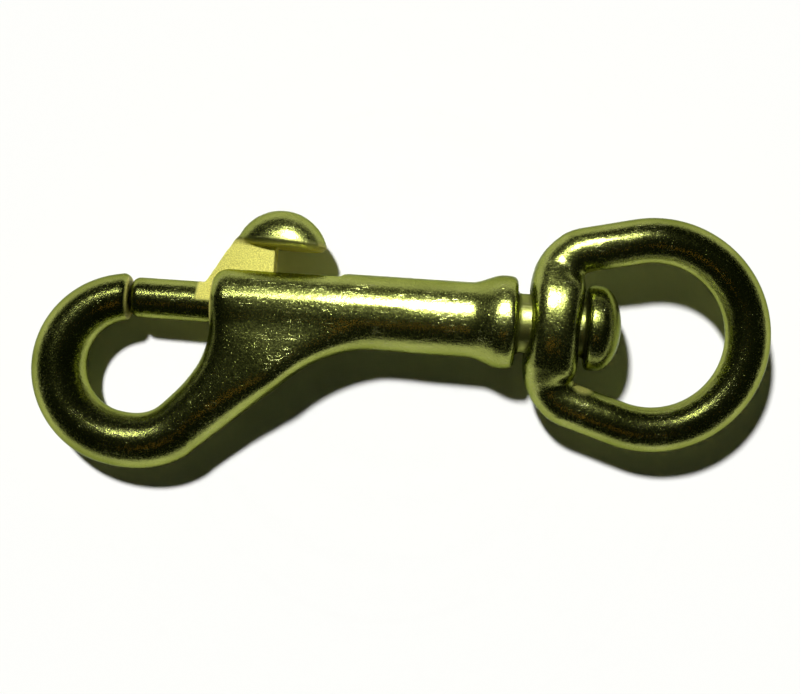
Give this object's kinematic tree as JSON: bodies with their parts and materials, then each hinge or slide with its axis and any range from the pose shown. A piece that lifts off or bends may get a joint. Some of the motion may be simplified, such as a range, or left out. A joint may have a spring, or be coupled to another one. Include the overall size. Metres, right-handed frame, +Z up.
{
  "type": "snap hook",
  "caption": "Cast brass bolt snap: a round hook closed by a sprung sliding bolt with a domed thumb knob, and a strap eye that swivels on a riveted stud.",
  "frame": {"origin": "on the barrel's axis, at the centre of the eye's round end where the loose eye hangs straight", "axes": "+X from the hook to the eye, +Y to the thumb knob, +Z up from the bench that the snap lies on; the barrel's axis rises 2.5 degrees towards the eye and the hook's plane is rolled 0.4 degrees, because the snap rests on its collar and on the loop of its hook"},
  "size_m": [0.082, 0.0318, 0.0111],
  "materials": {
    "polished_brass": "cast and tumble polished, with fine scratches",
    "bolt_brass": "polished rod and knob, sandy as cast on the arm",
    "spring_wire": "drawn wire"
  },
  "bodies": {
    "hook_body": {"hook_body": "polished_brass", "spring": "spring_wire"},
    "bolt": {"bolt": "bolt_brass"},
    "swivel_eye": {"swivel_eye": "polished_brass"}
  },
  "joints": [
    {"name": "bolt_slide", "type": "slide", "parent": "hook_body", "child": "bolt", "axis": [0.9991, 0, 0.043], "range_m": [0, 0.007], "stiffness_N_per_m": 300, "springref_m": -0.01, "deforming": ["spring"]},
    {"name": "eye_swivel", "type": "hinge", "parent": "hook_body", "child": "swivel_eye", "pos_m": [0, 0, 0], "axis": [0.9991, 0, 0.043], "continuous": true}
  ]
}
